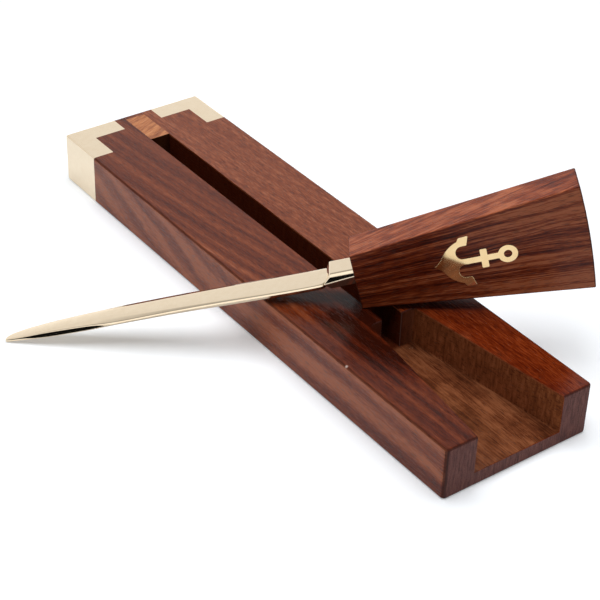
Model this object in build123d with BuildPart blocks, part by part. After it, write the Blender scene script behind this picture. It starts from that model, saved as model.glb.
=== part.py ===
"""Letter opener with a brass blade and an anchor inlay, lying across its wooden desk stand."""
from build123d import *
from math import cos, radians, sin, sqrt
import os

# Stand: one block of rosewood, lying along Y, open at its front end (-Y)
stand_length = 250
stand_width = 65
stand_height = 21.2
edge_round = 0.9
front_corner_round = 1.6  # of the upright edges at the open end

# Opener handle: a flat board that flares from the neck to the butt
handle_length = 84
handle_neck_width = 22.7
handle_butt_width = 42.7
handle_thickness = 14
handle_round = 0.5
butt_crown = 0.9  # bulge of the butt end
handle_drop = 1.3  # middle of the handle below the blade's axis

# Blade: a flat bar with bevelled edges and an uneven point
blade_length = 122.6
blade_base_width = 11.8
blade_shoulder_width = 11.2
blade_thickness = 2.4
blade_flat_share = 0.8  # flat middle of the blade over its whole width
point_length = 60
point_back_fullness = 2.5  # 2 makes the edge a part of an ellipse, and 1 makes it straight
point_front_fullness = 1.4
point_thinning = 16  # from the end of the point to the full thickness
point_width = 1
point_thickness = 1
point_offset = 2  # the point lies towards the front edge
point_sections = 8

# Bolster: a six-sided brass collar between the blade and the handle
bolster_length = 9.4
bolster_width = 11.4
bolster_height = 8
bolster_flat_width = 7.8
bolster_round = 0.9
bolster_end_round = 0.5

# Tang: the blade's tail, through the bolster and glued into the handle
tang_width = 6.4
tang_length = 46
tang_clearance = 0.1

# Anchor inlay, measured from its crown along the handle
anchor_from_neck = 28.8
anchor_shank_width = 2.45
anchor_ring_from_crown = 26.5
anchor_ring_diameter = 7.2
anchor_ring_hole = 2.9
anchor_stock_from_crown = 18
anchor_stock_width = 2.6
anchor_stock_length = 7.8
anchor_stock_round = 0.5
anchor_arm_reach = 9.4
anchor_arm_height = 8.75
anchor_arm_bow = 0.85
anchor_crown_reach = 3  # of the hollow stretch beside the crown
anchor_crown_height = 2.8
anchor_crown_hollow = 0.2
anchor_arm_width = 2.25  # from the arm's end in to the throat
anchor_throat_run = 1.8  # from the arm's end on to the throat's mouth
anchor_throat_depth = 2.9
anchor_fluke_rise = 1.4
anchor_fluke_lean = 0.7
anchor_fluke_length = 4.4
anchor_fluke_slant = 0.3
anchor_fluke_round = 0.5
anchor_bill_run = 3.2
inlay_depth = 1.5
inlay_clearance = 0.05

# Recess and slot that hold the opener when it is put away
handle_overhang = 25
recess_headroom = 1.5
neck_clearance = 0.25
mouth_clearance = 1
recess_corner_round = 2.2  # left by the cutter at the inner end
shoulder_round = 0.4  # of the upright edges where the slot begins
bolster_end_clearance = 1.6
slot_clearance = 0.5

# Plug that closes the slot's run-out near the back end
plug_length = 20.2
back_wall = 2.6

# Brass corner caps, let in flush at the back end
cap_leg = 23.4
cap_width = 9.3
cap_thickness = 1.4

# How the opener lies across the stand in use
opener_heading = -35.3
edge_contact_run = 3.4  # from the neck along the lower back edge to the slot's edge
contact_from_recess = 18.8  # from the recess's end along the slot's edge
rest_clearance = 0.1  # of the opener above the floor and the rails

# Places along the opener, from the point
neck_x = blade_length + bolster_length
butt_x = neck_x + handle_length
handle_flare = (handle_butt_width - handle_neck_width) / (2 * handle_length)

# Sizes of the recess and the slot
stored_run = handle_length - handle_overhang
recess_length = stored_run + bolster_length + bolster_end_clearance
recess_depth = handle_thickness + recess_headroom
stored_neck_half = handle_neck_width / 2 + neck_clearance
recess_mouth_half = handle_neck_width / 2 + handle_flare * stored_run + mouth_clearance
recess_flare = (recess_mouth_half - stored_neck_half) / stored_run
recess_end_half = recess_mouth_half - recess_flare * recess_length
slot_width = bolster_height + 2 * slot_clearance
front_y = -stand_length / 2
recess_end_y = front_y + recess_length
slot_end_y = stand_length / 2 - back_wall
floor_z = stand_height - recess_depth
top_plane = Plane.XY.offset(stand_height)

os.makedirs("parts", exist_ok=True)

# Outer form of the stand with its eased edges
with BuildPart() as envelope:
    Box(stand_width, stand_length, stand_height, align=(Align.CENTER, Align.CENTER, Align.MIN))
    fillet(envelope.edges().filter_by(Axis.Z).group_by(Axis.Y)[0], front_corner_round)
    back_corners = envelope.edges().filter_by(Axis.Z).group_by(Axis.Y)[-1]
    rims = envelope.faces().filter_by(Axis.Z).edges()
    fillet(back_corners + rims, edge_round)

# Room of one corner cap: an L-shaped top plate, a side plate and an end plate
with BuildPart() as left_cap_room:
    corner = (-stand_width / 2, stand_length / 2)
    towards_middle = (Align.MIN, Align.MAX)
    with BuildSketch(top_plane):
        with Locations(corner):
            Rectangle(cap_width, cap_leg, align=towards_middle)
            Rectangle(cap_leg, cap_width, align=towards_middle)
    extrude(amount=-cap_thickness)
    with BuildSketch():
        with Locations(corner):
            Rectangle(cap_thickness, cap_leg, align=towards_middle)
            Rectangle(cap_leg, cap_thickness, align=towards_middle)
    extrude(amount=stand_height)

with BuildPart() as right_cap_room:
    mirror(left_cap_room.part, about=Plane.YZ)

with BuildPart() as left_corner_cap:
    add(envelope.part)
    add(left_cap_room.part, mode=Mode.INTERSECT)

with BuildPart() as right_corner_cap:
    add(envelope.part)
    add(right_cap_room.part, mode=Mode.INTERSECT)

# Block with the wedge-shaped recess, the slot and the rebates of the caps
with BuildPart() as stand_block:
    add(envelope.part)
    with BuildSketch(top_plane) as recess_outline:
        Polygon(
            (-recess_mouth_half, front_y),
            (recess_mouth_half, front_y),
            (recess_end_half, recess_end_y),
            (-recess_end_half, recess_end_y),
            align=None,
        )
        fillet(recess_outline.vertices().sort_by(Axis.Y)[-2:], recess_corner_round)
    extrude(amount=-recess_depth, mode=Mode.SUBTRACT)
    with BuildSketch(top_plane):
        with Locations((0, recess_end_y)):
            Rectangle(slot_width, slot_end_y - recess_end_y, align=(Align.CENTER, Align.MIN))
    extrude(amount=-recess_depth, mode=Mode.SUBTRACT)
    at_recess_end = stand_block.edges().filter_by(Axis.Z).filter_by_position(
        Axis.Y, recess_end_y - 0.01, recess_end_y + 0.01
    )
    fillet(at_recess_end.filter_by_position(Axis.X, -slot_width / 2, slot_width / 2), shoulder_round)
    add(left_cap_room.part, mode=Mode.SUBTRACT)
    add(right_cap_room.part, mode=Mode.SUBTRACT)

# Plug of paler wood in the slot's run-out, flush with the top
with BuildPart() as slot_plug:
    with BuildSketch(Plane.XY.offset(floor_z)):
        with Locations((0, slot_end_y)):
            Rectangle(slot_width, plug_length, align=(Align.CENTER, Align.MAX))
    extrude(amount=recess_depth)

# The opener is made along X from its point, anchor face to the front (-Y), blade's middle at Z = 0


def blade_section(x, back, front, thickness):
    """Six-sided section of the blade at x, with its ridges at y = back and y = front."""
    middle = (back + front) / 2
    flat = (back - front) / 2 * blade_flat_share
    half = thickness / 2
    with BuildSketch(Plane.YZ.offset(x)) as section:
        Polygon(
            (back, 0),
            (middle + flat, half),
            (middle - flat, half),
            (front, 0),
            (middle - flat, -half),
            (middle + flat, -half),
            align=None,
        )
    return section.sketch


def point_edge(shoulder_y, point_y, fullness, x):
    """Edge of the point at x: a quarter of a superellipse that leaves the shoulder along the blade."""
    run = 1 - x / point_length
    return point_y + (shoulder_y - point_y) * (1 - run**fullness) ** (1 / fullness)


shoulder = blade_section(point_length, blade_shoulder_width / 2, -blade_shoulder_width / 2, blade_thickness)
base = blade_section(blade_length, blade_base_width / 2, -blade_base_width / 2, blade_thickness)
point_profiles = [shoulder]
for step in range(1, point_sections):
    x = point_length * (1 - step / (point_sections - 1)) ** 2
    back = point_edge(blade_shoulder_width / 2, -point_offset + point_width / 2, point_back_fullness, x)
    front = point_edge(-blade_shoulder_width / 2, -point_offset - point_width / 2, point_front_fullness, x)
    thickness = point_thickness + (blade_thickness - point_thickness) * min(x / point_thinning, 1)
    point_profiles.append(blade_section(x, back, front, thickness))

with BuildPart() as blade:
    loft([base, shoulder], ruled=True)
    loft(point_profiles, ruled=True)
    with BuildSketch(Plane.YZ.offset(blade_length)):
        Rectangle(tang_width, blade_thickness)
    extrude(amount=bolster_length + tang_length)

with BuildPart() as bolster:
    with BuildSketch(Plane.YZ.offset(blade_length)):
        Polygon(
            (bolster_width / 2, 0),
            (bolster_flat_width / 2, bolster_height / 2),
            (-bolster_flat_width / 2, bolster_height / 2),
            (-bolster_width / 2, 0),
            (-bolster_flat_width / 2, -bolster_height / 2),
            (bolster_flat_width / 2, -bolster_height / 2),
            align=None,
        )
    extrude(amount=bolster_length)
    fillet(bolster.edges().filter_by(Axis.X), bolster_round)
    fillet(bolster.faces().sort_by(Axis.X)[0].edges(), bolster_end_round)
    with BuildSketch(Plane.YZ.offset(blade_length)):
        Rectangle(tang_width + 2 * tang_clearance, blade_thickness + 2 * tang_clearance)
    extrude(amount=bolster_length, mode=Mode.SUBTRACT)

# Anchor outline on the handle's front face, one half drawn and mirrored
front_face = Plane(
    origin=(neck_x + anchor_from_neck, -handle_thickness / 2, -handle_drop),
    x_dir=(1, 0, 0),
    z_dir=(0, -1, 0),
)
shank_half = anchor_shank_width / 2
throat_x = anchor_arm_reach + anchor_throat_run
throat_y = anchor_arm_height - anchor_arm_width
fluke_y = anchor_arm_height + anchor_fluke_rise
with BuildSketch(front_face) as anchor_outline:
    with BuildLine():
        crown_end = (anchor_crown_reach, anchor_crown_height)
        arm_end = (anchor_arm_reach, anchor_arm_height)
        throat_top = (throat_x, throat_y)
        throat_foot = (throat_x, shank_half)
        SagittaArc((0, 0), crown_end, -anchor_crown_hollow)
        SagittaArc(crown_end, arm_end, anchor_arm_bow)
        Polyline(
            arm_end,
            (anchor_arm_reach + anchor_fluke_lean, fluke_y),
            (anchor_arm_reach + anchor_fluke_length, fluke_y + anchor_fluke_slant),
            (anchor_arm_reach + anchor_bill_run, throat_y),
            throat_top,
        )
        SagittaArc(throat_top, throat_foot, -anchor_throat_depth)
        Polyline(throat_foot, (throat_x, 0), (0, 0))
    make_face()
    fillet(anchor_outline.vertices().sort_by(Axis.Y)[-2:], anchor_fluke_round)
    mirror(about=Plane.XZ)
    with Locations((throat_x, 0)):
        Rectangle(anchor_ring_from_crown - throat_x, anchor_shank_width, align=(Align.MIN, Align.CENTER))
    with Locations((anchor_stock_from_crown, 0)):
        RectangleRounded(anchor_stock_width, anchor_stock_length, anchor_stock_round)
    with Locations((anchor_ring_from_crown, 0)):
        Circle(anchor_ring_diameter / 2)
        Circle(anchor_ring_hole / 2, mode=Mode.SUBTRACT)

with BuildPart() as anchor_inlay:
    extrude(anchor_outline.sketch, amount=-inlay_depth)

with BuildSketch(front_face) as pocket_outline:
    add(anchor_outline.sketch_local)
    offset(amount=inlay_clearance)

with BuildPart() as handle:
    with BuildSketch(Plane.XZ):
        with BuildLine():
            butt_top = (butt_x, handle_butt_width / 2 - handle_drop)
            butt_foot = (butt_x, -handle_butt_width / 2 - handle_drop)
            Polyline(
                butt_foot,
                (neck_x, -handle_neck_width / 2 - handle_drop),
                (neck_x, handle_neck_width / 2 - handle_drop),
                butt_top,
            )
            SagittaArc(butt_top, butt_foot, butt_crown)
        make_face()
    extrude(amount=handle_thickness / 2, both=True)
    fillet(handle.edges(), handle_round)
    with BuildSketch(Plane.YZ.offset(neck_x)):
        Rectangle(tang_width + 2 * tang_clearance, blade_thickness + 2 * tang_clearance)
    extrude(amount=tang_length + tang_clearance, mode=Mode.SUBTRACT)
    extrude(pocket_outline.sketch, amount=-inlay_depth, mode=Mode.SUBTRACT)

# Resting place of the opener: its point on the floor, the lower front corner of the neck on the
# left rail, and the lower back edge of the handle on the slot's right edge
point_contact = Vector(0, -point_offset, -point_thickness / 2)
front_corner = Vector(neck_x, -handle_thickness / 2, -handle_neck_width / 2 - handle_drop)
back_corner = Vector(neck_x, handle_thickness / 2, -handle_neck_width / 2 - handle_drop)
back_butt = Vector(butt_x, handle_thickness / 2, -handle_butt_width / 2 - handle_drop)
edge_contact = back_corner + (back_butt - back_corner).normalized() * edge_contact_run

# Upright direction of the stand as the opener sees it: both upper contacts lie stand_height
# above the point
across = (edge_contact - front_corner).normalized()
to_corner = front_corner - point_contact
lever = to_corner - across * across.dot(to_corner)
rise = stand_height / lever.length
up = lever.normalized() * rise + lever.cross(across).normalized() * sqrt(1 - rise**2)

# Directions of the stand's X and Y, from the heading of the opener over the floor
ahead = (Vector(1, 0, 0) - up * up.X).normalized()
beside = up.cross(ahead)
heading = radians(opener_heading)
stand_x = ahead * cos(heading) - beside * sin(heading)
stand_y = up.cross(stand_x)
contact_y = recess_end_y + contact_from_recess
contact_z = stand_height + rest_clearance
stand_origin = edge_contact - stand_x * (slot_width / 2) - stand_y * contact_y - up * contact_z
laid = Plane(origin=stand_origin, x_dir=stand_x, z_dir=up).location.inverse()

for piece in (blade, bolster, handle, anchor_inlay):
    piece.part.locate(laid)

pieces = {
    "stand_block": stand_block,
    "slot_plug": slot_plug,
    "left_corner_cap": left_corner_cap,
    "right_corner_cap": right_corner_cap,
    "blade": blade,
    "bolster": bolster,
    "handle": handle,
    "anchor_inlay": anchor_inlay,
}
for name, piece in pieces.items():
    piece.part.label = name
    export_step(piece.part, f"parts/{name}.step")
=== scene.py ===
"""Letter opener lying across its rosewood stand: finishes, studio light and camera."""
from math import atan2, cos, pi, radians, sin, tan

import bmesh
import bpy
from mathutils import Euler, Matrix, Vector


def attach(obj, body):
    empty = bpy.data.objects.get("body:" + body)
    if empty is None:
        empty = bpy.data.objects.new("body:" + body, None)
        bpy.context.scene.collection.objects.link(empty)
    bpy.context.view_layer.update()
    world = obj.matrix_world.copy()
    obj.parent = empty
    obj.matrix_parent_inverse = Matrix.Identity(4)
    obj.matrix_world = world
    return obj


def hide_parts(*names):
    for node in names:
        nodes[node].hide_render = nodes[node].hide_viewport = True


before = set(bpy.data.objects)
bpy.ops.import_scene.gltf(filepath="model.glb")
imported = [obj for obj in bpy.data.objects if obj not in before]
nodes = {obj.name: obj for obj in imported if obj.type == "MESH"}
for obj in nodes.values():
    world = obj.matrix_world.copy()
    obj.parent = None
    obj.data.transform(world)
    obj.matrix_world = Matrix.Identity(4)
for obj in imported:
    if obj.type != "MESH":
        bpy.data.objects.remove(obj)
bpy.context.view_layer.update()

MM = 0.001
WHITE = (1, 1, 1, 1)

# Modelling: how near corners are merged and how far off they count as apart, in millimetres, from what
# turn an edge is sharp, in radians, and from what share of its direction along the axis a face is flat
MERGE = 0.001
MARGIN = 0.1
SHARP_ANGLE = 0.5
FLAT = 0.99

# Camera, in degrees and metres of the stand's own frame
CAMERA_AZIMUTH = -36.954
CAMERA_ELEVATION = 34.694
CAMERA_ROLL = 1.897
CAMERA_PLACE = (-0.332754, -0.441746, 0.379262)
CAMERA_LENS = 103.49
CAMERA_SENSOR = 36
CAMERA_NEAR = 0.01

# Studio: sizes and places in metres, lamps in watts, and levels of which 1 is white
FLOOR_SIZE = 12
FLOOR_COLOUR = (0.795, 0.828, 0.862, 1)
FLOOR_LIFT = 0.24
FLOOR_FADE = (0.35, 1.1)
AMBIENT = 0.15
CEILING = 0.5
CEILING_HEIGHT = (0.64, 0.8)
KEY_PLACE = (-0.2, 0.12, 1.0)
KEY_SIZE = 0.85
KEY_POWER = 6.7
FILL_PLACE = (0.17, -0.1, 1.0)
FILL_SIZE = 0.85
FILL_POWER = 5.8
CARD_AZIMUTH = -45
BACK_CARD_AZIMUTH = 154
CARD_DISTANCE = 0.9
CARD_WIDTH = 1.6
CARD_HEIGHT = 0.26
WHITE_CARD_FOOT = 0.42
WHITE_CARD_HEIGHT = 0.75
WHITE_CARD_LEVEL = 1.4
BACK_CARD_HEIGHT = 0.52
BACK_CARD_LEVEL = 1.35
BACK_CARD_TOP_LEVEL = 1
CARD_COLOUR = (0.01, 0.01, 0.01, 1)

# Opener as it lies: where its point is, and its turn in the stand's frame
POINT_PLACE = (-0.109005, 0.036124, 0.00052)
OPENER_ALONG = (0.790537, -0.559732, 0.248498)
OPENER_ACROSS = (0.584268, 0.810925, -0.032133)

# Blade, in millimetres along the opener from the point
BLADE_LENGTH = 122.6
BLADE_BASE_WIDTH = 11.8
BLADE_SHOULDER_WIDTH = 11.2
BLADE_THICKNESS = 2.4
POINT_LENGTH = 60
POINT_BACK_FULLNESS = 2.5
POINT_FRONT_FULLNESS = 1.4
POINT_THINNING = 16
POINT_WIDTH = 1
POINT_THICKNESS = 1
POINT_OFFSET = 2
# Back edge at places along the blade: how far it stands out, run and whole drop of its bevel, run
# and drop of the crown beside it, and where and how much the bevel is held up at both ends
BACK_EDGE = (
    (0, 0, 0.3, 0.16, 0.5, 0.04, 0.33, 0.01),
    (8, 0, 0.9, 0.46, 2.2, 0.16, 0.33, 0.03),
    (15, 0, 1.3, 0.68, 3.4, 0.26, 0.33, 0.045),
    (34, 0, 1.3, 0.68, 3.2, 0.24, 0.33, 0.045),
    (43, 0.35, 2.1, 0.68, 2.6, 0.06, 0.15, 0),
    (52, 0.42, 2.4, 0.76, 2.8, 0.05, 0.15, 0),
    (72, 0.42, 2.4, 0.76, 2.8, 0.05, 0.15, 0),
    (104, 0.1, 0.9, 0.3, 1.3, 0.05, 0.15, 0),
    (117, 0, 0.9, 0.3, 1.3, 0.05, 0.15, 0),
)
# Front edge at places along the blade: run and drop of its wide bevel, run and drop of the narrow
# facet below it, and how far the underside is drawn in
FRONT_EDGE = (
    (0, 0.25, 0.12, 0.1, 0.3, 0.1),
    (0.8, 0.3, 0.13, 0.13, 0.4, 0.12),
    (3, 0.6, 0.15, 0.09, 0.22, 0.15),
    (8, 1.0, 0.17, 0.22, 0.64, 0.18),
    (10.5, 1.2, 0.178, 0.43, 1.25, 0.187),
    (15, 1.6, 0.19, 0.62, 1.8, 0.2),
    (22, 2.0, 0.21, 0.64, 1.86, 0.25),
    (30, 2.4, 0.25, 0.58, 1.68, 0.3),
    (34, 2.7, 0.34, 0.55, 1.5, 0.4),
    (38, 3.0, 0.6, 0.42, 0.8, 0.7),
    (43, 2.8, 0.66, 0.38, 0.5, 0.9),
    (52, 2.1, 0.5, 0.38, 0.5, 1.0),
    (64, 1.5, 0.36, 0.38, 0.5, 1.0),
    (82, 0.9, 0.21, 0.4, 0.52, 0.9),
    (104, 0.6, 0.13, 0.42, 0.55, 0.8),
    (117, 0.6, 0.12, 0.42, 0.56, 0.8),
)
# End of the blade's full width, and how far its front and back edges are drawn in there
BASE_END = (
    (119.8, 0.15, 0),
    (120.4, 0.8, 0.02),
    (121, 1.45, 0.05),
    (121.5, 2, 0.12),
    (121.9, 2.5, 0.45),
)
# How far the blade is bowed down at its base, and where that starts and ends
BLADE_SINK = 1.45
BLADE_SINK_START = 66
BLADE_SINK_END = 112
TANG_WIDTH = 6.4
TANG_THICKNESS = 2.2
TANG_STATIONS = (122.05, 122.8, 177.5)

# Bolster: half of its section from the top, at the blade and at the handle, where its corners start
# at the front and the back, and half of its hole
BOLSTER_BLADE_HALF = ((4.25, 3), (5.05, 2.1), (5.75, -0.5), (5.1, -3))
BOLSTER_HALF = ((4.25, 3), (5.03, 2.1), (5.62, 0.5), (5, -3))
BOLSTER_FRONT_STARTS = (123.3, 123, 120.2, 122.7)
BOLSTER_BACK_STARTS = (123.3, 122.9, 122.4, 122.9)
BOLSTER_END = 132
BOLSTER_ROUND = 0.4
BOLSTER_ROUND_STEPS = 4
TANG_HOLE_HALF = ((2.4, 1.3), (3.3, 1.3), (3.3, -0.2), (2.4, -1.3))
TANG_HOLE_START = 122.1

# Anchor inlay: its ring, and half of its outline from the crown to the ring, with the bulge of each stretch
ANCHOR_RING_FROM_CROWN = 26.5
ANCHOR_RING_RADIUS = 3.6
ANCHOR_HOLE_RADIUS = 1.45
ANCHOR_HALF = (
    (0, 0, -0.2),
    (3, 2.8, 0.85),
    (9.4, 8.75, 0),
    (9.88, 9.7, 0.115),
    (10.6, 10.19, 0),
    (13.3, 10.41, 0.149),
    (13.655, 9.97, 0),
    (12.6, 6.5, 0),
    (11.2, 6.5, -2.9),
    (11.2, 1.225, 0),
    (16.7, 1.225, 0),
    (16.7, 3.4, 0.146),
    (17.2, 3.9, 0),
    (18.8, 3.9, 0.146),
    (19.3, 3.4, 0),
    (19.3, 1.225, 0),
    (23.115, 1.225, 0.653),
    (ANCHOR_RING_FROM_CROWN, ANCHOR_RING_RADIUS, 1.054),
)
ANCHOR_PLACE = (160.8, -6.35, -1.3)
ANCHOR_THICKNESS = 1.3
ANCHOR_ROUND = 0.08
ANCHOR_ROUND_STEPS = 3
ANCHOR_TILT = 0.8

# Handle, for its grain, and where its finish changes, from the start to the end of each change
HANDLE_NECK = 132
HANDLE_FLARE = 0.0105
HANDLE_CROWN = 0.9
HANDLE_BUTT_HALF = 21.35
HANDLE_DROP = 1.3
HANDLE_PALE_END = (150, 195)
HANDLE_PALE_CORNERS = (((165, 195), (3, 12)), ((165, 190), (-12, -18)))
HANDLE_DARK_TOP = (185, 212)
HANDLE_DARK_BUTT = (216.1, 216.7)
HANDLE_BACK = (5, 6)
HANDLE_LOW = (0, -5)

# Stand, where its finish changes, in millimetres, from the start to the end of each change
RIGHT_RAIL = (-2, 6)
FRONT_END = (-20, -60)
# Where the left rail is darkened beside the recess's neck: painted shade under the handle, partly darker
# wood
SHADE_AND_DARK_WOOD_X = ((-34, -16), (2, -4))
SHADE_AND_DARK_WOOD_Y = ((-30, -46), (-96, -70))
RING_BEND_START = -20
STRIPE_WIDTH = 4.8
SIDE_WAVE_WIDTH = 11.5
SIDE_WAVE_START = 14.5
SIDE_SLOPE_START = 15
SIDE_FOOT = (7, 4)
CUT_HALF = (20.8, 20.2)
CUT_TOP = (20.9, 20.3)
CUT_FLOOR = (5, 5.4)
CUT_BACK = (123.5, 123)
CUT_FRONT = (-124.95, -124.6)
# Where painted light lifts the recess's end wall, where painted shade fills the slot, and where the slot's
# edges get their painted highlight
RECESS_END_WALL = (5.5, 7.5)
SLOT_SIDE = (6.4, 5)
SLOT_MOUTH = (-57, -54)
SLOT_EDGE = (5.6, 5)
CHIPPED_CORNER = (7.2, -57.6, 7.9)
CHIP_REACH = (1.4, 2.8)
NICK_PLACE = (-31.9, -70, 20.9)
NICK_REACH = (0.2, 0.8)

# Share of a surface's direction along an axis, from where a face starts to count to where it counts fully
FACING = (0.5, 0.8)
FACING_AWAY = (-0.5, -0.8)
FACING_END = (0.6, 0.85)
FACING_TOP = (0.4, 0.8)
FACING_NONE = (0.985, 0.92)

# Grain: widths of its bands and streaks in each wood, in millimetres, their change along a millimetre of
# it, how fine its flecks and pores are across and along it, and the range in which each noise lies
STAND_GRAIN = (4.5, 0.9)
HANDLE_GRAIN = (1.6, 0.3)
PLUG_GRAIN = (3, 0.8)
PLUG_GRAIN_TURN = 20
BAND_DRIFT = 0.003
STREAK_DRIFT = 0.014
FLECK_FINENESS = (1.6, 0.19)
PORE_FINENESS = (2.4, 0.28)
BAND_RANGE = (0.34, 0.66)
FLECK_RANGE = (0.32, 0.68)
PORE_RANGE = (0.56, 0.68)
HAZE_RANGE = (0.3, 0.75)
NOISE_RANGE = (0.3, 0.7)

# Varnish: its roughness, what flecks, pores and wear add to that, its gloss and the depth of its relief
VARNISH_ROUGHNESS = 0.16
FLECK_ROUGHNESS = 0.1
PORE_ROUGHNESS = 0.15
WORN_ROUGHNESS = 0.35
VARNISH_GLOSS = 0.16
VARNISH_RELIEF = 0.06 * MM

# Brass: its roughness, what haze adds to that, how fine the haze and the waves are, and the waves' depth
BRASS_ROUGHNESS = 0.03
HAZE_ROUGHNESS = 0.05
HAZE_FINENESS = 0.35
WAVE_FINENESS = 0.12
WAVE_RELIEF = 0.3 * MM

# Brass where it is clear and where it is hazy
PALE_BRASS = ((0.78, 0.655, 0.485), (0.75, 0.615, 0.445))
YELLOW_BRASS = ((0.81, 0.60, 0.33), (0.77, 0.55, 0.28))

# Rosewood from its darkest streaks to its palest
ROSEWOOD = (
    (0.0, (0.022, 0.0030, 0.0009)),
    (0.3, (0.072, 0.0095, 0.0022)),
    (0.55, (0.135, 0.025, 0.0065)),
    (0.8, (0.21, 0.050, 0.017)),
    (1.0, (0.30, 0.092, 0.040)),
)
DARK_WOOD = ROSEWOOD[0][1]
# Redder figure of the stand's left side and of the handle
RED_ROSEWOOD = (
    (0.0, (0.030, 0.0034, 0.0010)),
    (0.3, (0.090, 0.0098, 0.0022)),
    (0.55, (0.175, 0.0285, 0.0070)),
    (0.8, (0.27, 0.060, 0.020)),
    (1.0, (0.38, 0.108, 0.044)),
)
# Other colours of the stand: its ends, the floor and the walls of its recess, the plug, small marks, and
# painted light and shade
# End grain, greyed by painted sheen
END_GRAIN_AND_SHEEN = ((0, (0.05, 0.015, 0.012)), (0.5, (0.132, 0.043, 0.034)), (1, (0.21, 0.075, 0.058)))
RECESS_FLOOR = (
    (0.15, (0.045, 0.011, 0.004)), (0.5, (0.125, 0.036, 0.0135)), (0.85, (0.23, 0.078, 0.032)),
)
SAWN_WALL = ((0.05, (0.13, 0.034, 0.011)), (0.5, (0.23, 0.067, 0.0225)), (1, (0.36, 0.115, 0.044)))
PLUG_WOOD = ((0.1, (0.20, 0.055, 0.018)), (0.5, (0.41, 0.142, 0.051)), (0.9, (0.57, 0.24, 0.095)))
PLUG_PORE = (0.2, 0.06, 0.02)
# Painted shade on the right rail's front, before the handle: darker and redder
RIGHT_FRONT_SHADE = (1, 0.68, 0.4)
# Painted light on the recess's end wall beside the slot, where the handle's shadow falls
PAINTED_LIGHT_END_WALL = (0.36, 0.125, 0.05)
# Pale torn wood of the chips, with painted glints
PALE_CHIP_AND_GLINT = (0.42, 0.3, 0.22)
SLOT_SHADE = (0.052, 0.0046, 0.0011)
# Pale wear of the slot's edges, with a painted highlight
WORN_EDGE_AND_HIGHLIGHT = (0.2, 0.13, 0.11)
# Bare wood of the small chip in the left rail's edge, with a painted glint
BARE_WOOD_AND_GLINT = (0.62, 0.5, 0.44)


class Graph:
    """Shorthand for laying out the nodes of one material."""

    def __init__(self, name):
        self.material = bpy.data.materials.new(name)
        self.material.use_nodes = True
        self.tree = self.material.node_tree
        self.surface = self.tree.nodes["Principled BSDF"]

    def put(self, socket, value):
        """Links an output socket, or sets a plain value."""
        if isinstance(value, bpy.types.NodeSocket):
            self.tree.links.new(value, socket)
        else:
            socket.default_value = value

    def finish(self, name, value):
        self.put(self.surface.inputs[name], value)

    def node(self, kind, *values, **settings):
        """New node with its first inputs filled in order; returns it."""
        made = self.tree.nodes.new(kind)
        for key, value in settings.items():
            setattr(made, key, value)
        for socket, value in zip(made.inputs, values):
            if value is not None:
                self.put(socket, value)
        return made

    def math(self, operation, *values):
        return self.node("ShaderNodeMath", *values, operation=operation).outputs[0]

    def total(self, start, *terms):
        """start plus each product of a (factor, value) pair."""
        for factor, value in terms:
            start = self.math("MULTIPLY_ADD", value, factor, start)
        return start

    def scaled(self, vector, scale):
        return self.node("ShaderNodeVectorMath", vector, scale, operation="MULTIPLY").outputs["Vector"]

    def split(self, vector):
        return self.node("ShaderNodeSeparateXYZ", vector).outputs

    def join(self, x, y, z):
        return self.node("ShaderNodeCombineXYZ", x, y, z).outputs[0]

    def noise(self, vector, detail=2, roughness=0.5):
        """Noise from 0 to 1 whose features are about one unit of the vector across."""
        made = self.node("ShaderNodeTexNoise")
        self.put(made.inputs["Vector"], vector)
        made.inputs["Scale"].default_value = 1
        made.inputs["Detail"].default_value = detail
        made.inputs["Roughness"].default_value = roughness
        return made.outputs["Fac"]

    def spread(self, value, low, high):
        """Value stretched so that low becomes 0 and high becomes 1."""
        return self.node("ShaderNodeMapRange", value, low, high).outputs[0]

    def step(self, value, start, end):
        """Smooth step of a value from 0 at start to 1 at end."""
        made = self.node("ShaderNodeMapRange", value, start, end, interpolation_type="SMOOTHSTEP")
        return made.outputs[0]

    def both(self, *masks):
        """Product of masks and plain shares."""
        first, *others = masks
        for mask in others:
            first = self.math("MULTIPLY", first, mask)
        return first

    def ramp(self, factor, stops):
        """Colour ramp through (place, colour) stops."""
        made = self.node("ShaderNodeValToRGB", factor)
        marks = made.color_ramp.elements
        while len(marks) < len(stops):
            marks.new(0.5)
        for mark, (place, colour) in zip(marks, stops):
            mark.position = place
            mark.color = (*colour, 1)
        return made.outputs["Color"]

    def blend(self, factor, a, b, mode="MIX"):
        made = self.node("ShaderNodeMix", data_type="RGBA", blend_type=mode)
        sockets = [s for s in made.inputs if s.type == "RGBA"]
        self.put(made.inputs["Factor"], factor)
        for socket, value in zip(sockets, (a, b)):
            self.put(socket, value if isinstance(value, bpy.types.NodeSocket) else (*value, 1))
        return next(s for s in made.outputs if s.type == "RGBA")

    def bump(self, height, strength, distance):
        made = self.node("ShaderNodeBump")
        made.inputs["Strength"].default_value = strength
        made.inputs["Distance"].default_value = distance
        self.put(made.inputs["Height"], height)
        return made.outputs["Normal"]


def opener_matrix():
    """Place of the opener: X along it from the point, Y across it, Z up."""
    along, across = Vector(OPENER_ALONG), Vector(OPENER_ACROSS)
    turn = Matrix((along, across, along.cross(across))).transposed()
    return Matrix.Translation(POINT_PLACE) @ turn.to_4x4()


def millimetres(graph, place=None):
    """Object coordinates in millimetres, in the frame of place where one is given."""
    here = graph.node("ShaderNodeTexCoord").outputs["Object"]
    mapping = graph.node("ShaderNodeMapping", here, vector_type="TEXTURE")
    if place:
        mapping.inputs["Location"].default_value = place.to_translation()
        mapping.inputs["Rotation"].default_value = place.to_euler()
    mapping.inputs["Scale"].default_value = (MM, MM, MM)
    return mapping.outputs[0]


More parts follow.
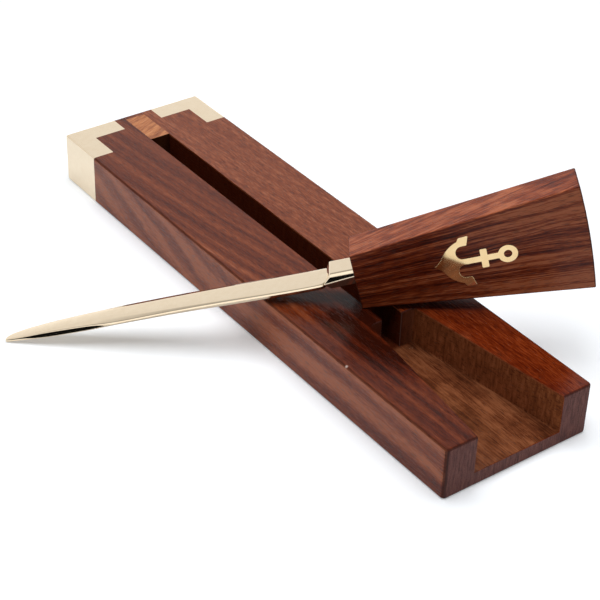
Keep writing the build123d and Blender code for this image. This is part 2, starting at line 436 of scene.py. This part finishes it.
def facing(graph, place=None):
    """Parts of the surface's own direction along X, Y and Z, in the frame of place where one is
    given."""
    direction = graph.node("ShaderNodeTexCoord").outputs["Normal"]
    if place:
        turned = graph.node("ShaderNodeMapping", direction, vector_type="TEXTURE")
        turned.inputs["Rotation"].default_value = place.to_euler()
        direction = turned.outputs[0]
    return graph.split(direction)


def rounded_edges(graph, directions):
    """1 on the rounded edges, where the surface looks along none of the three directions."""
    a, b, c = (graph.math("ABSOLUTE", part) for part in directions)
    return graph.step(graph.math("MAXIMUM", graph.math("MAXIMUM", a, b), c), *FACING_NONE)


def near(graph, here, place, inner, outer):
    """1 within inner millimetres of a place, and 0 beyond outer."""
    gap = graph.node("ShaderNodeVectorMath", here, place, operation="DISTANCE").outputs["Value"]
    return graph.step(gap, outer, inner)


def past(graph, value, start):
    """How far a value lies past start, or 0 before it."""
    return graph.math("MAXIMUM", graph.math("SUBTRACT", value, start), 0)


def waves(graph, ring, width):
    """Even waves from -1 to 1 across the growth rings."""
    return graph.math("COSINE", graph.math("MULTIPLY", ring, 2 * pi / width))


def drawn_out(graph, here, along, across_scale, along_scale):
    """Coordinates for a pattern drawn out along one axis."""
    scale = [across_scale] * 3
    scale[along] = along_scale
    return graph.scaled(here, scale)


def grain(graph, here, ring, along, band_width, streak_width):
    """Parts of the wood's figure, each from 0 to 1: soft bands and thin streaks that follow
    the growth rings, flecks, and the mask of open pores. along is the number of the axis that
    the grain follows."""
    run = graph.split(here)[along]
    ring_in_bands = graph.math("DIVIDE", ring, band_width)
    ring_in_streaks = graph.math("DIVIDE", ring, streak_width)
    band_place = graph.join(ring_in_bands, graph.math("MULTIPLY", run, BAND_DRIFT), 0)
    streak_place = graph.join(ring_in_streaks, graph.math("MULTIPLY", run, STREAK_DRIFT), 5)
    bands = graph.spread(graph.noise(band_place, 1), *BAND_RANGE)
    streaks = graph.spread(graph.noise(streak_place, 2), *NOISE_RANGE)
    flecks = graph.noise(drawn_out(graph, here, along, *FLECK_FINENESS), 3, 0.66)
    pores = graph.noise(drawn_out(graph, here, along, *PORE_FINENESS), 1)
    return bands, streaks, graph.spread(flecks, *FLECK_RANGE), graph.step(pores, *PORE_RANGE)


def varnish(graph, colour, flecks, pores, dull=0):
    """Satin varnish over wood: the pores and flecks still show in its surface. dull is where it
    is worn."""
    roughness = graph.total(
        VARNISH_ROUGHNESS, (FLECK_ROUGHNESS, flecks), (PORE_ROUGHNESS, pores), (WORN_ROUGHNESS, dull),
    )
    graph.finish("Base Color", colour)
    graph.finish("Roughness", roughness)
    graph.finish("Specular IOR Level", VARNISH_GLOSS)
    height = graph.total(0, (0.6, flecks), (-1, pores))
    graph.finish("Normal", graph.bump(height, 0.35, VARNISH_RELIEF))


def rail_colour(graph, here, figure, ring, right, front):
    """Colour of the stand's top: striped on the left rail, paler on the right one, and darker towards the
    front. Painted shade, partly darker wood, darkens the left rail where it meets the recess's neck under
    the handle, and painted shade darkens and reddens the right rail's front before the handle. right and
    front are the masks of those parts."""
    x, y, _ = graph.split(here)
    bands, streaks, flecks, _ = figure
    left = graph.math("SUBTRACT", 1, right)
    shaded_right_front = graph.both(right, front)
    banding = graph.both(graph.total(0.4, (-0.26, right)), graph.math("SUBTRACT", bands, 0.5))
    # Painted shade under the handle's neck, partly darker wood
    shade_and_dark_wood = graph.both(
        *(graph.step(x, *change) for change in SHADE_AND_DARK_WOOD_X),
        *(graph.step(y, *change) for change in SHADE_AND_DARK_WOOD_Y),
    )
    tone = graph.total(
        0.22, (1, banding), (0.18, streaks), (0.3, flecks), (0.16, graph.both(right, flecks)),
        (0.1, graph.both(left, waves(graph, ring, STRIPE_WIDTH))), (0.07, left),
        (0.2, right), (-0.1, front), (-0.1, shaded_right_front), (-0.42, shade_and_dark_wood),
    )
    # Painted shade on the right rail's front, before the handle
    return graph.blend(shaded_right_front, graph.ramp(tone, ROSEWOOD), RIGHT_FRONT_SHADE, "MULTIPLY")


def left_side_colour(graph, here, figure, drift, ripple, front):
    """Colour of the stand's left side: wide waves of the growth rings, which climb at the back. Its tone is
    paler than the top's, partly painted light for the light this side gets from the left.
    """
    _, y, z = graph.split(here)
    bands, streaks, flecks, _ = figure
    slope = past(graph, y, SIDE_SLOPE_START)
    ring = graph.total(-SIDE_WAVE_START, (1, z), (-0.3, slope), (5, ripple), (6, drift))
    wave = waves(graph, ring, SIDE_WAVE_WIDTH)
    foot = graph.both(graph.step(z, *SIDE_FOOT), front)
    tone = graph.total(
        0.44, (0.2, wave), (0.36, flecks), (0.26, streaks), (0.12, bands), (-0.16, foot),
    )
    return graph.ramp(tone, RED_ROSEWOOD)


def cut_faces(graph, here):
    """1 on the walls and floors of the recess and the slot."""
    x, y, z = graph.split(here)
    return graph.both(
        graph.step(graph.math("ABSOLUTE", x), *CUT_HALF),
        graph.step(z, *CUT_TOP),
        graph.step(z, *CUT_FLOOR),
        graph.step(y, *CUT_BACK),
        graph.step(y, *CUT_FRONT),
    )


def cut_colour(graph, here, directions):
    """Colour of the recess and the slot: sawn walls, a blotched floor, painted light on the recess's end
    wall beside the slot where the handle's shadow falls, chips in the corner beside the slot whose pale
    flecks are partly painted glints, and painted shade in the slot itself."""
    x, y, _ = graph.split(here)
    _, end, level = directions
    lines = graph.noise(graph.scaled(here, (2, 0.05, 2)), 4, 0.75)
    blotches = graph.noise(graph.scaled(here, (0.13, 0.055, 0.13)), 4, 0.65)
    floor_tone = graph.total(-1.1, (1.4, lines), (1.8, blotches))
    saw = graph.noise(graph.scaled(here, (0.8, 0.8, 0.2)), 4, 0.7)
    walls = graph.ramp(graph.spread(saw, *NOISE_RANGE), SAWN_WALL)
    colour = graph.blend(graph.step(level, *FACING), walls, graph.ramp(floor_tone, RECESS_FLOOR))

    end_wall = graph.step(end, *FACING_AWAY)
    # Painted light on the end wall beside the slot, where the handle's shadow falls
    lit_beside_slot = graph.both(end_wall, graph.step(x, *RECESS_END_WALL))
    colour = graph.blend(graph.both(lit_beside_slot, 0.55), colour, PAINTED_LIGHT_END_WALL)
    corner = near(graph, here, CHIPPED_CORNER, *CHIP_REACH)
    chips = graph.noise(graph.scaled(here, (1.5, 1.2, 1.5)), 2, 0.6)
    colour = graph.blend(graph.both(corner, graph.step(chips, 0.52, 0.46)), colour, DARK_WOOD)
    # Pale chips with painted glints
    colour = graph.blend(graph.both(corner, graph.step(chips, 0.53, 0.59)), colour, PALE_CHIP_AND_GLINT)
    # Painted shade in the slot and on the end wall at its mouth
    at_slot = graph.both(end_wall, graph.step(x, *SLOT_SIDE))
    shaded_slot = graph.math("MAXIMUM", graph.step(y, *SLOT_MOUTH), at_slot)
    return graph.blend(graph.both(shaded_slot, 0.85), colour, SLOT_SHADE)


def stand_wood():
    graph = Graph("stand_rosewood")
    here = millimetres(graph)
    x, y, z = graph.split(here)
    side, end, _ = directions = facing(graph)
    right = graph.step(x, *RIGHT_RAIL)
    front = graph.step(y, *FRONT_END)

    drift = graph.noise(graph.scaled(here, (0.02, 0.005, 0.02)))
    ripple = graph.noise(graph.scaled(here, (0.12, 0.025, 0.12)))
    bend = past(graph, y, RING_BEND_START)
    ring = graph.total(0, (-1, x), (0.35, z), (-0.12, bend), (10, drift), (2, ripple))
    figure = grain(graph, here, ring, 1, *STAND_GRAIN)
    _, _, flecks, pores = figure

    left_side = graph.step(side, *FACING_AWAY)
    ends = graph.step(graph.math("ABSOLUTE", end), *FACING_END)
    end_tone = graph.noise(graph.scaled(here, (1.3, 0.2, 0.16)), 3, 0.7)
    end_colour = graph.ramp(graph.spread(end_tone, *NOISE_RANGE), END_GRAIN_AND_SHEEN)
    inside = cut_faces(graph, here)
    colour = rail_colour(graph, here, figure, ring, right, front)
    colour = graph.blend(left_side, colour, left_side_colour(graph, here, figure, drift, ripple, front))
    colour = graph.blend(ends, colour, end_colour)
    colour = graph.blend(inside, colour, cut_colour(graph, here, directions))
    colour = graph.blend(graph.both(pores, 0.5), colour, DARK_WOOD)

    rounded = rounded_edges(graph, directions)
    edges = graph.both(rounded, graph.math("SUBTRACT", 1, inside))
    slot_edge_wear_and_highlight = graph.both(rounded, inside, graph.step(graph.math("ABSOLUTE", x), *SLOT_EDGE))
    nick_and_glint = near(graph, here, NICK_PLACE, *NICK_REACH)
    colour = graph.blend(graph.both(edges, 0.7), colour, DARK_WOOD)
    # Pale wear and a painted highlight on the slot's edges
    colour = graph.blend(graph.both(slot_edge_wear_and_highlight, 0.45), colour, WORN_EDGE_AND_HIGHLIGHT)
    # Bare wood and a painted glint at the small chip in the edge
    colour = graph.blend(graph.both(nick_and_glint, 0.8), colour, BARE_WOOD_AND_GLINT)

    open_pores = graph.both(pores, graph.total(1, (-0.7, graph.both(right, front))))
    varnish(graph, colour, flecks, open_pores, graph.math("MAXIMUM", edges, ends))
    return graph.material


def handle_face_tone(graph, here, figure):
    """Tone of the handle's faces, paler towards the butt and its corners."""
    x, _, z = graph.split(here)
    bands, streaks, flecks, _ = figure
    tone = graph.total(
        -0.47, (0.6, bands), (0.74, streaks), (0.46, flecks), (0.24, graph.step(x, *HANDLE_PALE_END)),
    )
    for along, up in HANDLE_PALE_CORNERS:
        tone = graph.total(tone, (0.2, graph.both(graph.step(z, *up), graph.step(x, *along))))
    return tone


def handle_top_tone(graph, here, flecks):
    """Tone of the handle's narrow top: slanting lines and mottle, darker at the butt."""
    x, y, _ = graph.split(here)
    slant = graph.total(0, (1, y), (-0.25, x))
    lines = graph.noise(graph.join(slant, graph.math("MULTIPLY", x, 0.03), 7), 3, 0.65)
    mottle = graph.noise(graph.scaled(here, (0.1, 0.28, 0.28)), 2)
    return graph.total(
        -0.04, (0.8, graph.spread(lines, *NOISE_RANGE)), (0.5, graph.spread(mottle, *NOISE_RANGE)),
        (0.28, flecks), (-0.16, graph.step(x, *HANDLE_DARK_TOP)),
    )


def handle_wood():
    graph = Graph("handle_rosewood")
    place = opener_matrix()
    here = millimetres(graph, place)
    x, y, z = graph.split(here)
    directions = facing(graph, place)
    drift = graph.noise(graph.scaled(here, (0.012, 0.03, 0.03)))
    ripple = graph.noise(graph.scaled(here, (0.05, 0.12, 0.12)))
    up = graph.math("ADD", z, HANDLE_DROP)
    flare = graph.total(1 - HANDLE_FLARE * HANDLE_NECK, (HANDLE_FLARE, x))
    fan = graph.math("DIVIDE", graph.total(0, (1, up), (0.3, y)), flare)
    ring = graph.total(0, (1, fan), (4, drift), (1, ripple))
    figure = grain(graph, here, ring, 0, *HANDLE_GRAIN)
    _, _, flecks, pores = figure

    tone = handle_face_tone(graph, here, figure)
    top = graph.step(directions[2], *FACING_TOP)
    change = graph.math("SUBTRACT", handle_top_tone(graph, here, flecks), tone)
    colour = graph.ramp(graph.total(tone, (1, graph.both(top, change))), RED_ROSEWOOD)
    colour = graph.blend(graph.both(pores, 0.5), colour, DARK_WOOD)

    crown = graph.both(up, up, HANDLE_CROWN / HANDLE_BUTT_HALF**2)
    butt = graph.step(graph.math("ADD", x, crown), *HANDLE_DARK_BUTT)
    low_or_back = graph.math("MAXIMUM", graph.step(y, *HANDLE_BACK), graph.step(z, *HANDLE_LOW))
    edges = graph.both(rounded_edges(graph, directions), low_or_back)
    dark = graph.math("MAXIMUM", butt, edges)
    colour = graph.blend(graph.both(dark, 0.75), colour, DARK_WOOD)
    varnish(graph, colour, flecks, pores, dark)
    return graph.material


def plug_wood():
    graph = Graph("plug_wood")
    here = millimetres(graph, Matrix.Rotation(radians(PLUG_GRAIN_TURN), 4, "Z"))
    y = graph.split(here)[1]
    ring = graph.total(0, (1, y), (5, graph.noise(graph.scaled(here, (0.06, 0.2, 0.2)))))
    bands, streaks, flecks, pores = grain(graph, here, ring, 0, *PLUG_GRAIN)
    tone = graph.total(-0.3, (0.6, bands), (0.38, streaks), (0.54, flecks))
    colour = graph.blend(graph.both(pores, 0.3), graph.ramp(tone, PLUG_WOOD), PLUG_PORE)
    # Painted shade on the plug's face inside the slot
    shade_in_slot = graph.step(facing(graph)[1], *FACING_AWAY)
    colour = graph.blend(graph.both(shade_in_slot, 0.93), colour, DARK_WOOD)
    varnish(graph, colour, flecks, pores)
    return graph.material


def polished_brass(name, clear, hazy):
    """Polished brass with the faint waviness and haze of hand polishing."""
    graph = Graph(name)
    here = millimetres(graph)
    haze = graph.noise(graph.scaled(here, [HAZE_FINENESS] * 3), 3, 0.6)
    wave = graph.noise(graph.scaled(here, [WAVE_FINENESS] * 3), 1)
    graph.finish("Base Color", graph.ramp(graph.spread(haze, *HAZE_RANGE), ((0, clear), (1, hazy))))
    graph.finish("Metallic", 1)
    graph.finish("Roughness", graph.total(BRASS_ROUGHNESS, (HAZE_ROUGHNESS, haze)))
    graph.finish("Normal", graph.bump(wave, 0.03, WAVE_RELIEF))
    return graph.material


def dress(node, material):
    """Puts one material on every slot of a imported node."""
    for slot in nodes[node].material_slots:
        slot.material = material


def loft(shape, rings):
    """Closed solid through rings of corners: the first is a face, and each next is extruded."""
    face = shape.faces.new([shape.verts.new(place) for place in rings[0]])
    last = None
    for ring in rings[1:]:
        grown = bmesh.ops.extrude_face_region(shape, geom=[face])["geom"]
        if last:
            bmesh.ops.delete(shape, geom=[face], context="FACES_ONLY")
        last = face
        face = next(part for part in grown if isinstance(part, bmesh.types.BMFace))
        for corner, place in zip(face.verts, ring):
            corner.co = place


def tube(shape, rings):
    """Closed ring-shaped solid: each ring of corners is extruded to the next, and the last joins the
    first."""
    corners = [shape.verts.new(place) for place in rings[0]]
    lines = [shape.edges.new(pair) for pair in zip(corners, corners[1:] + corners[:1])]
    for ring, following in zip(rings, rings[1:] + rings[:1]):
        grown = bmesh.ops.extrude_edge_only(shape, edges=lines)["geom"]
        lines = [part for part in grown if isinstance(part, bmesh.types.BMEdge)]
        fresh = [part for part in grown if isinstance(part, bmesh.types.BMVert)]
        for place, goal in zip(ring, following):
            corner = min(fresh, key=lambda part: (part.co - Vector(place)).length)
            fresh.remove(corner)
            corner.co = goal
    bmesh.ops.remove_doubles(shape, verts=shape.verts, dist=MERGE)


def opener_piece(name, shape, place, material, node, smoothing=0):
    """Puts a shape made in millimetres in its place on the opener, as what shows for a node."""
    bmesh.ops.recalc_face_normals(shape, faces=shape.faces)
    bmesh.ops.transform(shape, matrix=opener_matrix() @ Matrix.Scale(MM, 4) @ place, verts=shape.verts)
    mesh = bpy.data.meshes.new(name)
    shape.to_mesh(mesh)
    shape.free()
    mesh.materials.append(material)
    made = bpy.data.objects.new(name, mesh)
    bpy.context.scene.collection.objects.link(made)
    if smoothing:
        rounding = made.modifiers.new("rounding", "SUBSURF")
        rounding.levels = smoothing
        rounding.render_levels = smoothing
    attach(made, "opener")
    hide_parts(node)


def share(value, start, end):
    """How far value lies from start to end, kept from 0 to 1."""
    return min(max((value - start) / (end - start), 0), 1)


def mix(a, b, part):
    return a + (b - a) * part


def edge_at(places, x):
    """Values of one of the blade's edges at x, between the places that its table gives."""
    for (start, *low), (end, *high) in zip(places, places[1:]):
        if x <= end:
            break
    return [mix(a, b, share(x, start, end)) for a, b in zip(low, high)]


def point_edge(shoulder_y, point_y, fullness, x):
    """Edge of the point at x: a quarter of a superellipse that leaves the shoulder along the
    blade."""
    run = 1 - x / POINT_LENGTH
    return point_y + (shoulder_y - point_y) * (1 - run**fullness) ** (1 / fullness)


def blade_ring(x, front_inset=0, back_inset=0):
    """Corners of the blade's section at x: a bevel and a low crown along its back edge, a wide bevel
    and a narrow facet along its front edge, and a flat underside. The insets draw its edges in, and
    the blade's bow lowers it towards its base."""
    if x < POINT_LENGTH:
        shoulder, end = BLADE_SHOULDER_WIDTH / 2, POINT_WIDTH / 2
        back = point_edge(shoulder, end - POINT_OFFSET, POINT_BACK_FULLNESS, x)
        front = point_edge(-shoulder, -end - POINT_OFFSET, POINT_FRONT_FULLNESS, x)
    else:
        width = mix(BLADE_SHOULDER_WIDTH, BLADE_BASE_WIDTH, share(x, POINT_LENGTH, BLADE_LENGTH))
        back = width / 2 - back_inset
        front = -width / 2 + front_inset
    out, back_run, back_drop, crown_run, crown_drop, hold, bulge = edge_at(BACK_EDGE, x)
    back += out
    half = mix(POINT_THICKNESS, BLADE_THICKNESS, share(x, 0, POINT_THINNING)) / 2
    middle = (back + front) / 2
    reach = (back - front) / 2
    edge = min(1, reach)
    foot_y, foot_z = back - 0.06 * edge, half - back_drop
    top_y, top_z = back - min(back_run * edge, 0.5 * reach), half - crown_drop
    wide_run, wide_drop, run, drop, under = edge_at(FRONT_EDGE, x)
    top = half - wide_drop
    foot = top - drop
    ring = [
        # Back side, its bevel and the crown beside it
        (x, back, -0.3 * half),
        (x, back, half - back_drop - 0.15 * half),
        (x, foot_y, foot_z),
        (x, mix(foot_y, top_y, hold), mix(foot_z, top_z, hold) + bulge),
        (x, mix(top_y, foot_y, hold), mix(top_z, foot_z, hold) + bulge),
        (x, top_y, top_z),
        (x, back - min(crown_run * edge, 0.9 * reach), half),
        # Wide bevel and narrow facet of the front edge, with tight rounds between them
        (x, front + run + 1.15 * wide_run, half),
        (x, front + run + 0.8 * wide_run, half - 0.2 * wide_drop),
        (x, front + run + 0.08 * wide_run, half - 0.93 * wide_drop),
        (x, front + 0.97 * run, top - 0.03 * drop),
        (x, front + 0.04 * run, top - 0.96 * drop),
        (x, front, foot),
        (x, front + 0.04 * edge, foot - 0.05 * half),
        # Underside
        (x, front + under * edge, min(-0.93 * half, foot - 0.1 * half)),
        (x, front + (under + 0.3) * edge, -half),
        (x, middle, -half),
        (x, back - 0.45 * edge, -0.7 * half),
    ]
    sunk = share(x, BLADE_SINK_START, BLADE_SINK_END)
    sink = BLADE_SINK * sunk**2 * (3 - 2 * sunk)
    return [(x, y, z - sink) for x, y, z in ring]


def tang_ring(x):
    """Corners of the tang at x, as many as the blade's section has."""
    wide, thick = TANG_WIDTH / BLADE_BASE_WIDTH, TANG_THICKNESS / BLADE_THICKNESS
    return [(x, y * wide, (z + BLADE_SINK) * thick) for _, y, z in blade_ring(BLADE_LENGTH)]


def blade(material):
    shape = bmesh.new()
    rings = [blade_ring(x) for x, *_ in FRONT_EDGE]
    rings += [blade_ring(*values) for values in BASE_END]
    rings += [tang_ring(x) for x in TANG_STATIONS]
    loft(shape, rings)
    for face in shape.faces:
        face.smooth = True
    opener_piece("polished_blade", shape, Matrix(), material, "blade", 2)


def whole_ring(half, front_starts, back_starts):
    """Ring of corners from its half on the back side and where the corners lie along the opener."""
    back = [(x, y, z) for x, (y, z) in zip(back_starts, half)]
    front = [(x, -y, z) for x, (y, z) in zip(front_starts, half)]
    return back + front[::-1]


def harden(shape):
    """Keeps the sharp edges of a partly smooth shape sharp."""
    for line in shape.edges:
        line.smooth = line.calc_face_angle(0) < SHARP_ANGLE


def bolster(material):
    """Collar on the tang: its front ridge runs out towards the blade's edge, and its edges are
    soft."""
    shape = bmesh.new()
    ends = [BOLSTER_END] * len(BOLSTER_HALF)
    hole_starts = [TANG_HOLE_START] * len(TANG_HOLE_HALF)
    tube(shape, [
        whole_ring(BOLSTER_BLADE_HALF, BOLSTER_FRONT_STARTS, BOLSTER_BACK_STARTS),
        whole_ring(BOLSTER_HALF, ends, ends),
        whole_ring(TANG_HOLE_HALF, ends, ends),
        whole_ring(TANG_HOLE_HALF, hole_starts, hole_starts),
    ])
    hole = max(y for y, _ in TANG_HOLE_HALF) + MARGIN
    soft = []
    for line in shape.edges:
        outer = all(abs(corner.co.y) > hole for corner in line.verts)
        if outer and min(corner.co.x for corner in line.verts) < BOLSTER_END - MARGIN:
            soft.append(line)
    made = bmesh.ops.bevel(
        shape, geom=soft, offset=BOLSTER_ROUND, segments=BOLSTER_ROUND_STEPS, affect="EDGES", profile=0.5,
        material=-1,
    )
    for face in made["faces"]:
        face.smooth = True
    harden(shape)
    opener_piece("softened_bolster", shape, Matrix(), material, "bolster")


def arc_handles(start, end, bulge):
    """Handles of a curve from start to end that bulges to its left."""
    chord = end - start
    if not bulge:
        return start + chord / 3, end - chord / 3
    turn = 2 * atan2(2 * bulge, chord.length)
    reach = tan(turn / 2) * chord.length / (1.5 * sin(turn))
    step = chord.normalized() * reach
    return start + Matrix.Rotation(turn, 2) @ step, end - Matrix.Rotation(-turn, 2) @ step


def outline(curve, stops):
    """Adds a closed outline through (x, y, bulge) stops to a flat curve."""
    spline = curve.splines.new("BEZIER")
    spline.bezier_points.add(len(stops) - 1)
    spline.use_cyclic_u = True
    marks = list(spline.bezier_points)
    next_marks, next_stops = marks[1:] + marks[:1], stops[1:] + stops[:1]
    for mark, following, stop, after in zip(marks, next_marks, stops, next_stops):
        start, end = Vector(stop[:2]), Vector(after[:2])
        leave, arrive = arc_handles(start, end, stop[2])
        mark.co = start.to_3d()
        mark.handle_right = leave.to_3d()
        following.handle_left = arrive.to_3d()


def anchor(material):
    """Anchor inlay with softened edges, turned a little up as it is set in the handle."""
    curve = bpy.data.curves.new("anchor_outline", "CURVE")
    curve.dimensions = "2D"
    curve.fill_mode = "BOTH"
    curve.extrude = ANCHOR_THICKNESS / 2 - ANCHOR_ROUND
    curve.bevel_depth = ANCHOR_ROUND
    curve.bevel_resolution = ANCHOR_ROUND_STEPS
    curve.offset = -ANCHOR_ROUND
    ring_end = (ANCHOR_RING_FROM_CROWN + ANCHOR_RING_RADIUS, 0, ANCHOR_HALF[-1][2])
    bulges = [bulge for _, _, bulge in ANCHOR_HALF]
    lower = [(x, -y, bulge) for (x, y, _), bulge in zip(ANCHOR_HALF[:0:-1], bulges[-2::-1])]
    outline(curve, [*ANCHOR_HALF, ring_end, *lower])
    quarter = ANCHOR_HOLE_RADIUS * (1 - cos(pi / 4))
    hole = [(sin(turn * pi / 2), cos(turn * pi / 2)) for turn in range(4)]
    outline(curve, [
        (ANCHOR_RING_FROM_CROWN + x * ANCHOR_HOLE_RADIUS, y * ANCHOR_HOLE_RADIUS, quarter) for x, y in hole
    ])
    drawn = bpy.data.objects.new("anchor_outline", curve)
    bpy.context.scene.collection.objects.link(drawn)
    solid = bpy.data.meshes.new_from_object(drawn.evaluated_get(bpy.context.evaluated_depsgraph_get()))
    shape = bmesh.new()
    shape.from_mesh(solid)
    bpy.data.objects.remove(drawn)
    bpy.data.curves.remove(curve)
    bpy.data.meshes.remove(solid)
    bmesh.ops.remove_doubles(shape, verts=shape.verts, dist=MERGE)
    for face in shape.faces:
        face.smooth = abs(face.normal.z) < FLAT
    harden(shape)
    place = Matrix.Translation(ANCHOR_PLACE) @ Matrix.Rotation(radians(90 - ANCHOR_TILT), 4, "X")
    opener_piece("polished_anchor", shape, place, material, "anchor_inlay")


def camera():
    """Camera at the photograph's angle, turned a little about its own axis."""
    azimuth, elevation, roll = (radians(a) for a in (CAMERA_AZIMUTH, CAMERA_ELEVATION, CAMERA_ROLL))
    back = Vector((sin(azimuth) * cos(elevation), -cos(azimuth) * cos(elevation), sin(elevation)))
    level = Vector((cos(azimuth), sin(azimuth), 0))
    above = back.cross(level)
    right = level * cos(roll) + above * sin(roll)
    up = above * cos(roll) - level * sin(roll)
    turn = Matrix((right, up, back)).transposed().to_4x4()
    data = bpy.data.cameras.new("camera")
    data.lens = CAMERA_LENS
    data.sensor_width = CAMERA_SENSOR
    data.clip_start = CAMERA_NEAR
    made = bpy.data.objects.new("camera", data)
    made.matrix_world = Matrix.Translation(CAMERA_PLACE) @ turn
    bpy.context.scene.collection.objects.link(made)
    bpy.context.scene.camera = made


def background_ray(tree):
    """1 for rays that see the surroundings directly, in a mirror or through glass."""
    path = tree.nodes.new("ShaderNodeLightPath")
    seen = path.outputs["Is Camera Ray"]
    for name in ("Is Glossy Ray", "Is Transmission Ray"):
        most = tree.nodes.new("ShaderNodeMath")
        most.operation = "MAXIMUM"
        tree.links.new(seen, most.inputs[0])
        tree.links.new(path.outputs[name], most.inputs[1])
        seen = most.outputs[0]
    return seen


def flat_sheet(name, place, turn, width, height):
    """Upright or lying rectangle of the studio, with its corners in its mesh."""
    shape = bmesh.new()
    bmesh.ops.create_grid(shape, x_segments=1, y_segments=1, size=0.5)
    bmesh.ops.scale(shape, vec=(width, height, 1), verts=shape.verts)
    bmesh.ops.rotate(shape, cent=(0, 0, 0), matrix=Euler(turn).to_matrix(), verts=shape.verts)
    bmesh.ops.translate(shape, vec=place, verts=shape.verts)
    mesh = bpy.data.meshes.new(name)
    shape.to_mesh(mesh)
    shape.free()
    made = bpy.data.objects.new(name, mesh)
    bpy.context.scene.collection.objects.link(made)
    return made


def floor():
    """Wide pale floor that keeps the object's shadow, and stays white where the lamps don't reach."""
    made = flat_sheet("floor", (0, 0, 0), (0, 0, 0), FLOOR_SIZE, FLOOR_SIZE)
    graph = Graph("white_floor")
    graph.finish("Base Color", FLOOR_COLOUR)
    graph.finish("Roughness", 0.9)
    graph.finish("Specular IOR Level", 0)
    graph.finish("Emission Color", WHITE)
    here = graph.node("ShaderNodeTexCoord").outputs["Object"]
    away = graph.node("ShaderNodeVectorMath", here, operation="LENGTH").outputs["Value"]
    lift = graph.total(FLOOR_LIFT, (1 - FLOOR_LIFT, graph.step(away, *FLOOR_FADE)))
    graph.finish("Emission Strength", graph.both(background_ray(graph.tree), lift))
    made.data.materials.append(graph.material)


def card(name, azimuth, foot, height, level, top_level=None):
    """Card beside the object that only the brass shows, as a black or a white band. top_level is its
    brightness at the top, where that differs."""
    turn = radians(azimuth)
    place = (sin(turn) * CARD_DISTANCE, -cos(turn) * CARD_DISTANCE, foot + height / 2)
    made = flat_sheet(name, place, (radians(90), 0, turn), CARD_WIDTH, height)
    made.visible_camera = False
    made.visible_diffuse = False
    made.visible_shadow = False
    graph = Graph(name)
    graph.finish("Base Color", CARD_COLOUR)
    graph.finish("Roughness", 1)
    graph.finish("Specular IOR Level", 0)
    graph.finish("Emission Color", WHITE)
    if top_level is not None:
        up = graph.split(graph.node("ShaderNodeTexCoord").outputs["Object"])[2]
        level = graph.node("ShaderNodeMapRange", up, foot, foot + height, level, top_level).outputs[0]
    graph.finish("Emission Strength", level)
    made.data.materials.append(graph.material)


def softbox(name, place, size, power):
    """Square soft lamp at place that faces the object."""
    lamp = bpy.data.lights.new(name, "AREA")
    lamp.shape = "SQUARE"
    lamp.size = size
    lamp.energy = power
    made = bpy.data.objects.new(name, lamp)
    made.visible_glossy = False
    turn = (-Vector(place)).to_track_quat("-Z", "Y")
    made.matrix_world = Matrix.Translation(place) @ turn.to_matrix().to_4x4()
    bpy.context.scene.collection.objects.link(made)


def studio():
    """White surroundings that darken towards the ceiling, and two softboxes above, on either
    side along the opener."""
    world = bpy.data.worlds.new("studio")
    bpy.context.scene.world = world
    world.use_nodes = True
    tree = world.node_tree
    background = tree.nodes["Background"]
    background.inputs["Color"].default_value = WHITE
    coordinates = tree.nodes.new("ShaderNodeTexCoord")
    direction = tree.nodes.new("ShaderNodeSeparateXYZ")
    tree.links.new(coordinates.outputs["Generated"], direction.inputs[0])
    backdrop = tree.nodes.new("ShaderNodeMapRange")
    backdrop.interpolation_type = "SMOOTHSTEP"
    tree.links.new(direction.outputs["Z"], backdrop.inputs["Value"])
    levels = (*CEILING_HEIGHT, 1, CEILING)
    for name, value in zip(("From Min", "From Max", "To Min", "To Max"), levels):
        backdrop.inputs[name].default_value = value
    strength = tree.nodes.new("ShaderNodeMix")
    tree.links.new(background_ray(tree), strength.inputs["Factor"])
    strength.inputs["A"].default_value = AMBIENT
    tree.links.new(backdrop.outputs["Result"], strength.inputs["B"])
    tree.links.new(strength.outputs["Result"], background.inputs["Strength"])
    softbox("key_softbox", KEY_PLACE, KEY_SIZE, KEY_POWER)
    softbox("fill_softbox", FILL_PLACE, FILL_SIZE, FILL_POWER)


dress("stand_block", stand_wood())
dress("slot_plug", plug_wood())
dress("handle", handle_wood())
cap_brass = polished_brass("cap_brass", *PALE_BRASS)
for node in ("left_corner_cap", "right_corner_cap"):
    dress(node, cap_brass)
blade_brass = polished_brass("blade_brass", *PALE_BRASS)
blade(blade_brass)
bolster(blade_brass)
anchor(polished_brass("inlay_brass", *YELLOW_BRASS))

camera()
floor()
card("black_card", CARD_AZIMUTH, 0, CARD_HEIGHT, 0)
card("white_card", CARD_AZIMUTH, WHITE_CARD_FOOT, WHITE_CARD_HEIGHT, WHITE_CARD_LEVEL)
card("back_card", BACK_CARD_AZIMUTH, 0, BACK_CARD_HEIGHT, BACK_CARD_LEVEL, BACK_CARD_TOP_LEVEL)
studio()
bpy.context.scene.view_settings.view_transform = "Standard"
